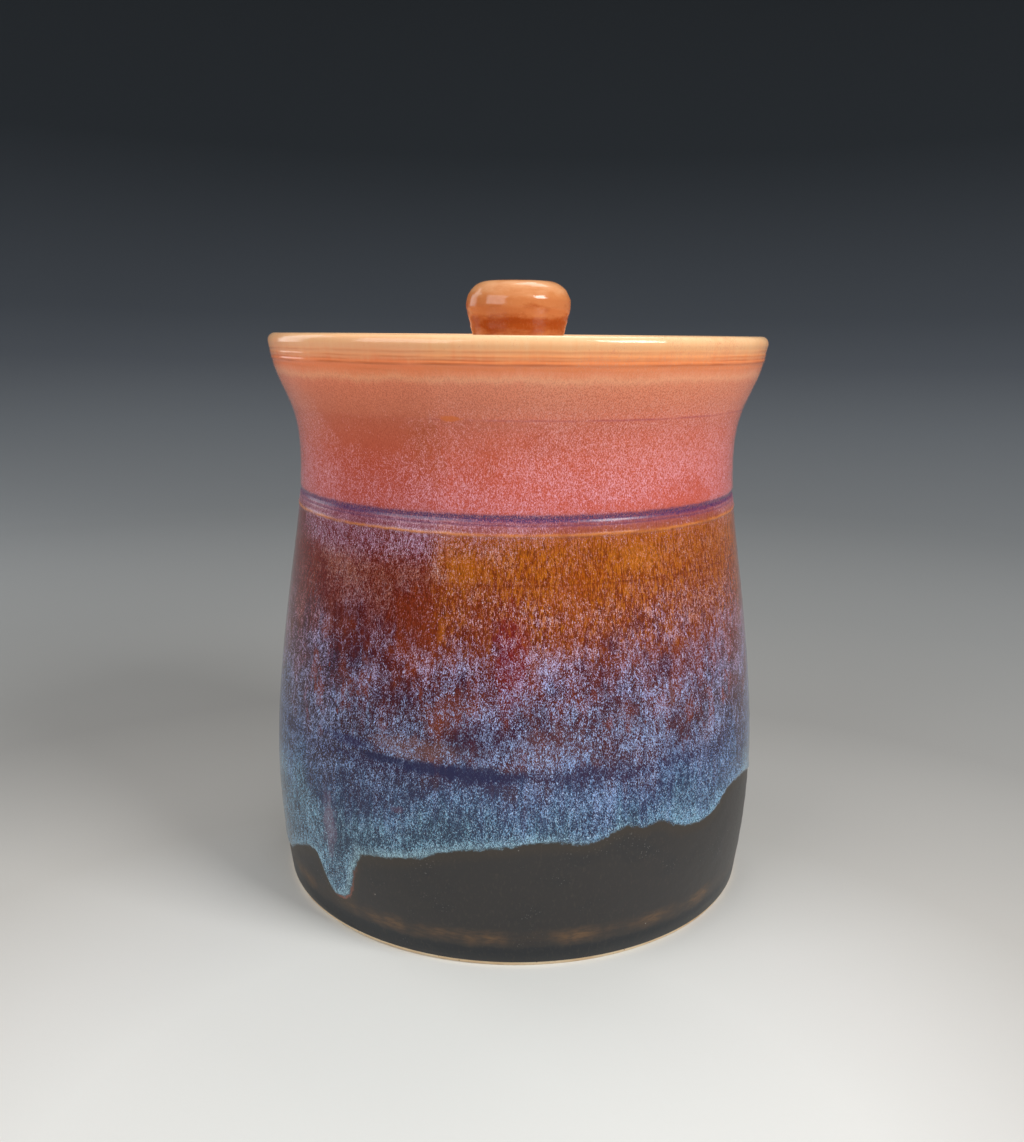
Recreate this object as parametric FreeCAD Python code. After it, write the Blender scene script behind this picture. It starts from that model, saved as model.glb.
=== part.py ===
import FreeCAD, Part
import math
import os

# Wheel-thrown stoneware canister with a drop-in lid and a knob.
# Millimetres, +Z up, origin in the middle of the foot's underside.

# Outside of the jar: heights above the foot, drops below the rim, and radii
rim_height = 168.2
foot_radius = 74.1
foot_bevel_height = 1.2
foot_bevel_width = 0.9
hip_height = 13.0
hip_radius = 75.6
belly_height = 37.0
belly_radius = 76.85
flank_height = 66.0
flank_radius = 74.9
shoulder_height = 96.0
shoulder_radius = 70.85
neck_drop = 37.2
neck_radius = 66.8
flare_drop = 22.0
flare_radius = 68.5
upper_flare_drop = 10.0
upper_flare_radius = 73.3
lip_radius = 75.05
lip_outer_round = 2.3
lip_inner_round = 1.8

# Clay thickness, and the rounded corner inside the base
wall = 5.5
base_thickness = 8.0
inside_corner = 6.0

# Lines cut or raised in the wet clay, as drops below the neck
groove_drop = 8.4
groove_width = 1.6
groove_depth = 0.5
ridge_drop = 12.6
ridge_width = 1.1
ridge_rise = 0.4

# Ledge inside the lip that carries the lid
gallery_depth = 10.0
seat_width = 7.5

# Lid, its locating ring and their clearances
lid_clearance = 1.2
lid_thickness = 6.0
lid_edge_round = 1.8
ring_clearance = 1.3
ring_width = 4.5
ring_depth = 7.0

# Knob, with heights above the lid
knob_height = 19.8
knob_foot_radius = 12.8
knob_waist_height = 8.0
knob_waist_radius = 15.0
knob_bulge_height = 12.0
knob_bulge_radius = 15.9
knob_crown_height = 16.2
knob_crown_radius = 14.5
knob_top_radius = 10.6

# How far the straight runs that the curves are laid down in may leave them
outside_sag = 0.3
inside_sag = 1.2
knob_sag = 0.3

# Heights and radii that the sizes above lead to
neck_height = rim_height - neck_drop
ledge_height = rim_height - gallery_depth
throat_radius = neck_radius - wall
gallery_radius = throat_radius + seat_width
lid_radius = gallery_radius - lid_clearance
lid_top = ledge_height + lid_thickness

UP = FreeCAD.Vector(0, 0, 1)
IN = FreeCAD.Vector(-1, 0, 0)


def at(radius, height):
    """A point of a half section."""
    return FreeCAD.Vector(radius, 0, height)


def smooth(points, first, last):
    """A smooth curve through points, given its directions at both ends."""
    curve = Part.BSplineCurve()
    curve.interpolate(Points=points, InitialTangent=first, FinalTangent=last)
    return curve


def radius_at(curve, height):
    """The curve's radius at a height."""
    level = Part.LineSegment(at(0, height), at(2 * belly_radius, height))
    return curve.intersectCC(level)[0].X


def along(curve, low, high, sag):
    """Points up the curve from height low to height high, in straight runs that leave it by sag at most."""
    first, last = [curve.parameter(at(radius_at(curve, height), height)) for height in (low, high)]
    return curve.discretize(Deflection=sag, First=first, Last=last)


def rounding(radius, height, size, start, turn, runs):
    """Points of an arc about a centre, from start through turn in degrees, in straight runs."""
    angles = [math.radians(start + turn * step / runs) for step in range(runs + 1)]
    return [at(radius + size * math.cos(angle), height + size * math.sin(angle)) for angle in angles]


def turned(points):
    """The solid that a closed half section makes when it turns about the axis."""
    apart = [here for here, after in zip(points, points[1:] + points[:1]) if not here.isEqual(after, 1e-6)]
    return Part.Face(Part.makePolygon(apart + apart[:1])).revolve(FreeCAD.Vector(), UP, 360)


def outer_curve():
    """The jar's outside, from the bevelled foot through belly, neck and flare to the lip."""
    return smooth(
        [
            at(foot_radius, foot_bevel_height),
            at(hip_radius, hip_height),
            at(belly_radius, belly_height),
            at(flank_radius, flank_height),
            at(shoulder_radius, shoulder_height),
            at(neck_radius, neck_height),
            at(flare_radius, rim_height - flare_drop),
            at(upper_flare_radius, rim_height - upper_flare_drop),
            at(lip_radius, rim_height - lip_outer_round),
        ],
        UP,
        UP,
    )


def thrown_line(curve, height, width, reach):
    """A line round the wall: a ridge that reaches out of the curve, or a groove where reach is negative."""
    low = height - width / 2
    high = height + width / 2
    tip = radius_at(curve, height) + reach
    return [at(radius_at(curve, low), low), at(tip, height), at(radius_at(curve, high), high)]


def outside():
    """Points up the jar's outside, with the ridge and the groove that lie below its neck."""
    curve = outer_curve()
    ridge = thrown_line(curve, neck_height - ridge_drop, ridge_width, ridge_rise)
    groove = thrown_line(curve, neck_height - groove_drop, groove_width, -groove_depth)
    belly = along(curve, foot_bevel_height, belly_height, outside_sag)
    shoulder = along(curve, belly_height, ridge[0].z, outside_sag)
    flare = along(curve, groove[-1].z, rim_height - lip_outer_round, outside_sag)
    return belly + shoulder + ridge + groove + flare


def lip_and_gallery():
    """Points over the rounded lip and down on to the ledge inside it that carries the lid."""
    outer = lip_outer_round
    inner = lip_inner_round
    lip = rounding(lip_radius - outer, rim_height - outer, outer, 0, 90, 2)
    lip += rounding(gallery_radius + inner, rim_height - inner, inner, 90, 90, 1)
    return lip + [at(gallery_radius, ledge_height), at(throat_radius, ledge_height)]


def inside():
    """Points down the jar's inside, a wall's thickness in from its outside, to the rounded corner and floor."""
    corner_top = base_thickness + inside_corner
    up = [point - at(wall, 0) for point in along(outer_curve(), corner_top, neck_height, inside_sag)]
    corner = rounding(up[0].x - inside_corner, corner_top, inside_corner, 0, -90, 2)
    return up[::-1] + corner + [at(0, base_thickness)]


def make_jar_body():
    """The thrown jar, in one wall from its bevelled foot to the gallery inside its lip."""
    underside = [at(0, 0), at(foot_radius - foot_bevel_width, 0)]
    return turned(underside + outside() + lip_and_gallery() + inside())


def make_lid():
    """The drop-in lid: a round plate that rests on the ledge, and a ring below it that centres it."""
    ring_outside = throat_radius - ring_clearance
    ring_inside = ring_outside - ring_width
    ring_bottom = ledge_height - ring_depth
    ring = [at(ring_inside, ledge_height), at(ring_inside, ring_bottom)]
    ring += [at(ring_outside, ring_bottom), at(ring_outside, ledge_height)]
    edge = rounding(lid_radius - lid_edge_round, lid_top - lid_edge_round, lid_edge_round, 0, 90, 1)
    return turned([at(0, ledge_height)] + ring + [at(lid_radius, ledge_height)] + edge + [at(0, lid_top)])


def make_lid_knob():
    """The knob, luted to the middle of the lid: it widens to a bulge and closes in to a flat top."""
    side = smooth(
        [
            at(knob_foot_radius, lid_top),
            at(knob_waist_radius, lid_top + knob_waist_height),
            at(knob_bulge_radius, lid_top + knob_bulge_height),
            at(knob_crown_radius, lid_top + knob_crown_height),
            at(knob_top_radius, lid_top + knob_height),
        ],
        at(knob_waist_radius - knob_foot_radius, knob_waist_height),
        IN,
    )
    return turned([at(0, lid_top)] + side.discretize(Deflection=knob_sag) + [at(0, lid_top + knob_height)])


os.makedirs("parts", exist_ok=True)
make_jar_body().exportStep("parts/jar_body.step")
make_lid().exportStep("parts/lid.step")
make_lid_knob().exportStep("parts/lid_knob.step")
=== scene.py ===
"""A wheel-thrown stoneware canister: a turned jar under layered glazes, and a lid with its knob.

Sizes are in millimetres, heights are above the foot's underside, and angles go round from the front towards the right.
"""

import logging
import math
from dataclasses import dataclass
from enum import Enum

import bpy
import numpy as np
from mathutils import Matrix, Vector


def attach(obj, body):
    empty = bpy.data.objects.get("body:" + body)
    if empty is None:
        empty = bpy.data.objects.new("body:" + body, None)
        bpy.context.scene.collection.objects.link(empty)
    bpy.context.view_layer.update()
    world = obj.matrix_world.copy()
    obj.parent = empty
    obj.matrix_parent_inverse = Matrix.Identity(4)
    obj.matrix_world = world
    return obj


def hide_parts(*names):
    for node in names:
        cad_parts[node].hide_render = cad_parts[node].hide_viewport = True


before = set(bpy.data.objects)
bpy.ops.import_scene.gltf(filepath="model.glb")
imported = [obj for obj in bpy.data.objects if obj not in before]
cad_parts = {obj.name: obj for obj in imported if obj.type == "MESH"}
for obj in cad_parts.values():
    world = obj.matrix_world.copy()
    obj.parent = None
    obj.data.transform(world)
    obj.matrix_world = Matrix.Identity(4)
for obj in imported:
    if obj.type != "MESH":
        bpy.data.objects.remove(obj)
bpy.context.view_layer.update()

MILLIMETRE = 0.001
Colour = tuple[float, float, float]
Stops = tuple[tuple[float, Colour], ...]
Points = tuple[tuple[float, float], ...]
Places = tuple[tuple[float, float, float], ...]
Socket = bpy.types.NodeSocket


class Coat(Enum):
    """What covers a stretch of a turned surface, as the place of its material on the mesh."""

    GLAZE = 0
    LINER = 1
    CLAY = 2


# Surfaces


def spline_through(points: np.ndarray, samples: int = 1200) -> np.ndarray:
    """A smooth line through points of a half section.

    Each coordinate is a cubic between neighbouring points, over the chord length s. Its slopes m are those that make
    the second derivative run on at every point: m[i-1]/h[i-1] + 2 m[i] (1/h[i-1] + 1/h[i]) + m[i+1]/h[i] equals three
    times the sum of each neighbouring step over its h squared. At both ends the line has no bend left.

    Args:
        points: Rows of (radius, height).
        samples: How many points to return.

    Returns:
        Rows of (radius, height), evenly spread over the chord length.
    """
    steps = np.diff(points, axis=0)
    chords = np.linalg.norm(steps, axis=1)
    along = np.concatenate([[0.0], np.cumsum(chords)])
    count = len(points)
    system = np.zeros((count, count))
    wanted = np.zeros_like(points)
    system[0, :2] = 2.0 / chords[0], 1.0 / chords[0]
    system[-1, -2:] = 1.0 / chords[-1], 2.0 / chords[-1]
    wanted[0] = 3.0 * steps[0] / chords[0] ** 2
    wanted[-1] = 3.0 * steps[-1] / chords[-1] ** 2
    inner = np.arange(1, count - 1)
    system[inner, inner - 1] = 1.0 / chords[:-1]
    system[inner, inner] = 2.0 / chords[:-1] + 2.0 / chords[1:]
    system[inner, inner + 1] = 1.0 / chords[1:]
    wanted[1:-1] = 3.0 * (steps[:-1] / chords[:-1, None] ** 2 + steps[1:] / chords[1:, None] ** 2)
    slopes = np.linalg.solve(system, wanted)
    places = np.linspace(0.0, along[-1], samples)
    piece = np.clip(np.searchsorted(along, places, side="right") - 1, 0, count - 2)
    width = chords[piece][:, None]
    t = ((places - along[piece]) / chords[piece])[:, None]
    return (
        points[piece] * (1 + 2 * t) * (1 - t) ** 2
        + slopes[piece] * width * t * (1 - t) ** 2
        + points[piece + 1] * t**2 * (3 - 2 * t)
        - slopes[piece + 1] * width * t**2 * (1 - t)
    )


def arc(radius: float, height: float, size: float, start: float, turn: float, count: int) -> np.ndarray:
    """Points of an arc of a half section: the centre plus size times (cosine, sine) of the angle.

    Args:
        radius: The centre's distance from the axis.
        height: The centre's height.
        size: The arc's own radius.
        start: The first angle, in degrees, where 0 points outwards and 90 up.
        turn: How far the arc goes round, in degrees.
        count: How many points.

    Returns:
        Rows of (radius, height).
    """
    angles = np.radians(np.linspace(start, start + turn, count))
    return np.stack([radius + size * np.cos(angles), height + size * np.sin(angles)], axis=1)


def line(first: tuple[float, float], last: tuple[float, float], count: int) -> np.ndarray:
    """Evenly spaced points of a straight stretch of a half section, without its two ends."""
    return np.linspace(first, last, count + 2)[1:-1]


def bell(value: np.ndarray, middle: float, width: float) -> np.ndarray:
    """A bell curve: e to the power of minus the squared distance from the middle, measured in widths."""
    return np.exp(-(((value - middle) / width) ** 2))


def easing(value: np.ndarray, low: float, high: float) -> np.ndarray:
    """0 below low, 1 above high, and t squared times (3 - 2 t) between them."""
    t = np.clip((value - low) / (high - low), 0.0, 1.0)
    return t * t * (3 - 2 * t)


def apart(first: np.ndarray, second: np.ndarray) -> np.ndarray:
    """The turn from the second angle to the first, in degrees, between -180 and 180."""
    return (first - second + 180.0) % 360.0 - 180.0


def waver(angles: np.ndarray, seed: int, slowest: int, quickest: int) -> np.ndarray:
    """An uneven line round the axis that meets itself.

    It is the sum of cosines of whole multiples of the angle, from the slowest to the quickest, each with a phase drawn
    from the seed and a size that falls with the square root of its multiple, brought to between -1 and 1.

    Args:
        angles: Degrees round the axis, in any shape.
        seed: Which line.
        slowest: The fewest waves in a turn.
        quickest: The most waves in a turn.

    Returns:
        Values of the angles' shape.
    """
    waves = np.arange(slowest, quickest + 1)
    phases = np.random.default_rng(seed).uniform(0.0, 2 * math.pi, len(waves))
    turns = np.radians(angles)[..., None] * waves + phases
    total = (np.cos(turns) / np.sqrt(waves)).sum(axis=-1)
    return total / np.sqrt(1.0 / waves).sum() * 1.6


def bells(angles: np.ndarray, places: Places) -> np.ndarray:
    """The sum of bell curves round the axis.

    Args:
        angles: Degrees round the axis.
        places: Each bell's middle and width, in degrees, and its height.

    Returns:
        One value for each angle.
    """
    return sum(size * bell(apart(angles, middle), 0.0, width) for middle, width, size in places)


def ripple(way: np.ndarray, pitch: float, angles: np.ndarray) -> np.ndarray:
    """The marks of throwing, which wind like a screw: the sine of a turn times (way / pitch + angle / 360 degrees)."""
    return np.sin(2 * math.pi * (way / pitch + angles / 360.0))


def all_round(rows: np.ndarray, columns: int) -> tuple[np.ndarray, np.ndarray]:
    """The radii and the heights of a half section's points, each repeated for every column."""
    return np.repeat(rows[:, :1], columns, axis=1), np.repeat(rows[:, 1:], columns, axis=1)


def coated(*stretches: tuple[np.ndarray, Coat]) -> np.ndarray:
    """One coat for each row, from stretches of rows and their coat."""
    return np.concatenate([np.full(len(rows), coat.value) for rows, coat in stretches])


def squares_between(rows: int, columns: int) -> np.ndarray:
    """Corners of the squares between neighbouring rows of a grid whose last column meets its first."""
    here = np.arange(rows * columns).reshape(rows, columns)
    after = np.roll(here, -1, axis=1)
    return np.stack([here[:-1], after[:-1], after[1:], here[1:]], axis=-1).reshape(-1, 4)


def show(mesh: bpy.types.Mesh, finishes: list[bpy.types.Material]) -> bpy.types.Object:
    """Puts a smooth mesh into the scene.

    Args:
        mesh: The mesh.
        finishes: Its materials.

    Returns:
        Its object, at the origin.
    """
    mesh.polygons.foreach_set("use_smooth", np.ones(len(mesh.polygons), dtype=bool))
    for finish in finishes:
        mesh.materials.append(finish)
    mesh.update()
    made = bpy.data.objects.new(mesh.name, mesh)
    bpy.context.scene.collection.objects.link(made)
    return made


@dataclass
class TurnedSurface:
    """A closed surface of revolution that may waver: rows go up the half section and columns round the axis.

    A vertex stands at (radius sin angle, -radius cos angle, height), so angle 0 is the front. The first and the last
    row each close on one point of the axis.

    Attributes:
        radius: Rows by columns.
        height: Rows by columns.
        angles: One angle for each column, in degrees.
        coats: One coat for each row. It covers the faces that lie above the row.
        marks: Named values, rows by columns, that the materials read.
    """

    radius: np.ndarray
    height: np.ndarray
    angles: np.ndarray
    coats: np.ndarray
    marks: dict[str, np.ndarray]

    def _closed(self, rows: np.ndarray) -> np.ndarray:
        """One value for each vertex: the rows' own, then one for each end on the axis."""
        return np.concatenate([rows.ravel(), [rows[0].mean(), rows[-1].mean()]])

    def mesh(self, name: str) -> bpy.types.Mesh:
        """Puts the grid into a mesh, with squares between the rows and a fan of triangles at each end.

        Args:
            name: The mesh's name.

        Returns:
            The mesh, in metres.
        """
        rows, columns = self.radius.shape
        turn = np.radians(self.angles)[None, :]
        x = self.radius * np.sin(turn)
        y = -self.radius * np.cos(turn)
        places = np.stack([self._closed(x), self._closed(y), self._closed(self.height)], axis=1)
        places[-2:, :2] = 0.0
        first = np.arange(columns)
        last = first + (rows - 1) * columns
        first_end, last_end = np.full(columns, rows * columns), np.full(columns, rows * columns + 1)
        first_fan = np.stack([np.roll(first, -1), first, first_end], axis=-1)
        last_fan = np.stack([last, np.roll(last, -1), last_end], axis=-1)
        squares = squares_between(rows, columns)
        mesh = bpy.data.meshes.new(name)
        mesh.from_pydata((places * MILLIMETRE).tolist(), [], squares.tolist() + first_fan.tolist() + last_fan.tolist())
        coats = np.concatenate(
            [np.repeat(self.coats[:-1], columns), np.full(columns, self.coats[0]), np.full(columns, self.coats[-1])]
        )
        mesh.polygons.foreach_set("material_index", coats.astype(np.int32))
        for mark, values in self.marks.items():
            attribute = mesh.attributes.new(mark, "FLOAT", "POINT")
            attribute.data.foreach_set("value", self._closed(values).astype(np.float32))
        return mesh

    def piece(self, name: str, finishes: list[bpy.types.Material]) -> bpy.types.Object:
        """The shown object, with one finish for each coat, in the coats' order."""
        return show(self.mesh(name), finishes)


# Finishes


def tint(red: float, green: float, blue: float) -> Colour:
    """A colour as it is seen, 0 to 255, as the linear light that materials take: ((c + 0.055) / 1.055) to the 2.4."""
    parts = np.array([red, green, blue]) / 255.0
    return tuple(np.where(parts <= 0.04045, parts / 12.92, ((parts + 0.055) / 1.055) ** 2.4).tolist())


def shades(*rows: tuple[float, float, float, float]) -> Stops:
    """The stops of a ramp, from rows of a value and the colour there as it is seen, 0 to 255."""
    return tuple((at, tint(*colour)) for at, *colour in rows)


def weights(*rows: tuple[float, float]) -> Stops:
    """The stops of a ramp that gives a number, from rows of a value and the number there."""
    return tuple((at, (weight, weight, weight)) for at, weight in rows)


class GlazeKitchen:
    """Mixes one material. Every method adds a node and returns its output, which the next one takes."""

    def __init__(self, name: str) -> None:
        """Starts an empty material, with the point on the piece and its height, both in millimetres.

        Args:
            name: The material's name.
        """
        self.material = bpy.data.materials.new(name)
        self.material.use_nodes = True
        self.tree = self.material.node_tree
        self.tree.nodes.clear()
        self.here = self.stretch(self.node("TexCoord").outputs["Object"], (1000.0, 1000.0, 1000.0))
        self.height = self.node("SeparateXYZ", self.here).outputs["Z"]

    def node(self, kind: str, *inputs: object) -> bpy.types.ShaderNode:
        """Adds a node and fills its first inputs.

        Args:
            kind: The node's kind.
            inputs: Outputs to link, or plain values to write in.

        Returns:
            The node.
        """
        made = self.tree.nodes.new("ShaderNode" + kind)
        for socket, value in zip(made.inputs, inputs):
            self.put(socket, value)
        return made

    def put(self, socket: Socket, value: object) -> None:
        """Fills one input.

        Args:
            socket: The input.
            value: An output to link, or a plain value to write in.
        """
        if isinstance(value, Socket):
            self.tree.links.new(value, socket)
        elif isinstance(value, tuple) and len(value) == 3 and socket.type == "RGBA":
            socket.default_value = (*value, 1.0)
        else:
            socket.default_value = value

    def stretch(self, vector: Socket, by: tuple[float, float, float]) -> Socket:
        """The vector, each part multiplied by its own number.

        Args:
            vector: The vector.
            by: Three numbers.

        Returns:
            The new vector.
        """
        node = self.node("VectorMath", vector, by)
        node.operation = "MULTIPLY"
        return node.outputs[0]

    def distance(self, centre: tuple[float, float, float], size: tuple[float, float, float]) -> Socket:
        """How far the point is from a centre.

        Args:
            centre: The centre, in millimetres.
            size: What counts as 1 in each direction, in millimetres.

        Returns:
            The distance.
        """
        away = self.node("VectorMath", self.here, centre)
        away.operation = "SUBTRACT"
        length = self.node("VectorMath", self.stretch(away.outputs[0], tuple(1 / part for part in size)))
        length.operation = "LENGTH"
        return length.outputs["Value"]

    def mark(self, name: str) -> Socket:
        """A named value that the mesh carries.

        Args:
            name: The mark's name.

        Returns:
            The value.
        """
        node = self.node("Attribute")
        node.attribute_name = name
        return node.outputs["Fac"]

    def grain(
        self,
        size: tuple[float, float],
        detail: float = 2.0,
        roughness: float = 0.5,
        distortion: float = 0.0,
        where: Socket | None = None,
    ) -> Socket:
        """Cloudy noise between 0 and 1.

        Args:
            size: How wide and how tall one blotch is, in millimetres.
            detail: How many finer layers.
            roughness: How strong the finer layers are.
            distortion: How far the blotches swirl.
            where: A point to take in place of the point on the piece.

        Returns:
            The noise.
        """
        point = self.here if where is None else where
        node = self.node("TexNoise", self.stretch(point, (1 / size[0], 1 / size[0], 1 / size[1])))
        settings = {"Scale": 1.0, "Detail": detail, "Roughness": roughness, "Distortion": distortion}
        for name, value in settings.items():
            node.inputs[name].default_value = value
        return node.outputs[0]

    def cells(self, size: float) -> Socket:
        """The distance to the nearest of scattered points, where 1 is about the distance between them.

        Args:
            size: About how far apart the points are, in millimetres.

        Returns:
            The distance.
        """
        node = self.node("TexVoronoi", self.stretch(self.here, (1 / size, 1 / size, 1 / size)))
        node.inputs["Scale"].default_value = 1.0
        return node.outputs["Distance"]

    def sum(self, operation: str, *numbers: object) -> Socket:
        """Works with numbers.

        Args:
            operation: What to do, such as ABSOLUTE, MAXIMUM or MULTIPLY_ADD.
            numbers: One to three numbers.

        Returns:
            The result.
        """
        node = self.node("Math", *numbers)
        node.operation = operation
        return node.outputs[0]

    def plus(self, first: object, second: object) -> Socket:
        """The two numbers added up."""
        return self.sum("ADD", first, second)

    def less(self, first: object, second: object) -> Socket:
        """The first number less the second."""
        return self.sum("SUBTRACT", first, second)

    def times(self, first: object, second: object) -> Socket:
        """The two numbers multiplied."""
        return self.sum("MULTIPLY", first, second)

    def centred(self, noise: Socket, reach: float) -> Socket:
        """The noise less its middle value of a half, times reach."""
        return self.times(self.less(noise, 0.5), reach)

    def rise(self, value: object, low: object, high: object, start: float = 0.0, end: float = 1.0) -> Socket:
        """Goes from one number to another, with eased ends, as a value goes up.

        Args:
            value: What it depends on.
            low: Where it starts to change.
            high: Where it is done.
            start: What it gives at low.
            end: What it gives at high.

        Returns:
            The number.
        """
        node = self.node("MapRange", value, low, high, start, end)
        node.interpolation_type = "SMOOTHSTEP"
        return node.outputs[0]

    def band(self, value: object, middle: float, half: float, soft: float) -> Socket:
        """1 within half of the middle and 0 beyond that, with soft edges."""
        away = self.sum("ABSOLUTE", self.less(value, middle))
        return self.rise(away, half - soft, half + soft, 1.0, 0.0)

    def ramp(self, value: Socket, stops: Stops) -> Socket:
        """Runs through colours as the value goes up.

        Args:
            value: What the colour depends on.
            stops: Pairs of a value and its colour, in rising order.

        Returns:
            The colour.
        """
        low, high = stops[0][0], stops[-1][0]
        node = self.node("ValToRGB", self.sum("DIVIDE", self.less(value, low), high - low))
        elements = node.color_ramp.elements
        while len(elements) < len(stops):
            elements.new(1.0)
        for element, (at, colour) in zip(elements, stops):
            element.position = (at - low) / (high - low)
            element.color = (*colour, 1.0)
        return node.outputs[0]

    def blend(self, share: object, first: object, second: object) -> Socket:
        """Mixes two colours.

        Args:
            share: 0 for the first colour, 1 for the second.
            first: A colour.
            second: Another colour.

        Returns:
            The mix.
        """
        node = self.node("Mix")
        node.data_type = "RGBA"
        for place, value in ((0, share), (6, first), (7, second)):
            self.put(node.inputs[place], value)
        return node.outputs[2]

    def bump(self, height: Socket, distance: float, under: Socket | None = None) -> Socket:
        """Leans the surface as if it were raised.

        Args:
            height: 0 where it lies low and 1 where it lies high.
            distance: How far apart the two are, in millimetres.
            under: A lean that this one is added to.

        Returns:
            The lean.
        """
        node = self.node("Bump")
        node.inputs["Distance"].default_value = distance * MILLIMETRE
        self.put(node.inputs["Height"], height)
        if under is not None:
            self.put(node.inputs["Normal"], under)
        return node.outputs[0]

    def fire(self, colour: Socket, roughness: Socket, lean: Socket, ior: float, shine: float) -> bpy.types.Material:
        """Finishes the material.

        Args:
            colour: The base colour.
            roughness: How dull the surface is.
            lean: The surface's lean.
            ior: The index of refraction.
            shine: How strongly it shines, where 0.5 is what the index alone gives.

        Returns:
            The material.
        """
        shader = self.node("BsdfPrincipled")
        values = {"Base Color": colour, "Roughness": roughness, "Normal": lean, "IOR": ior, "Specular IOR Level": shine}
        for name, value in values.items():
            self.put(shader.inputs[name], value)
        self.node("OutputMaterial", shader.outputs[0])
        return self.material


@dataclass(frozen=True)
class Spot:
    """A single spot or streak on the glaze: mostly the glaze's own, a few a painted reflection.

    Attributes:
        angle: Where it is, in degrees.
        height: How high its middle is.
        width: How far it reaches sideways from its middle, in millimetres.
        tall: How far it reaches up and down from its middle, in millimetres.
        strength: How much it covers, from 0 to 1.
        colour: Its colour.
        radius: How far its middle is from the axis.
    """

    angle: float
    height: float
    width: float
    tall: float
    strength: float
    colour: Colour
    radius: float = 72.0

    def centre(self) -> tuple[float, float, float]:
        """Its middle, where angle 0 is the front."""
        turn = math.radians(self.angle)
        return self.radius * math.sin(turn), -self.radius * math.cos(turn), self.height


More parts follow.
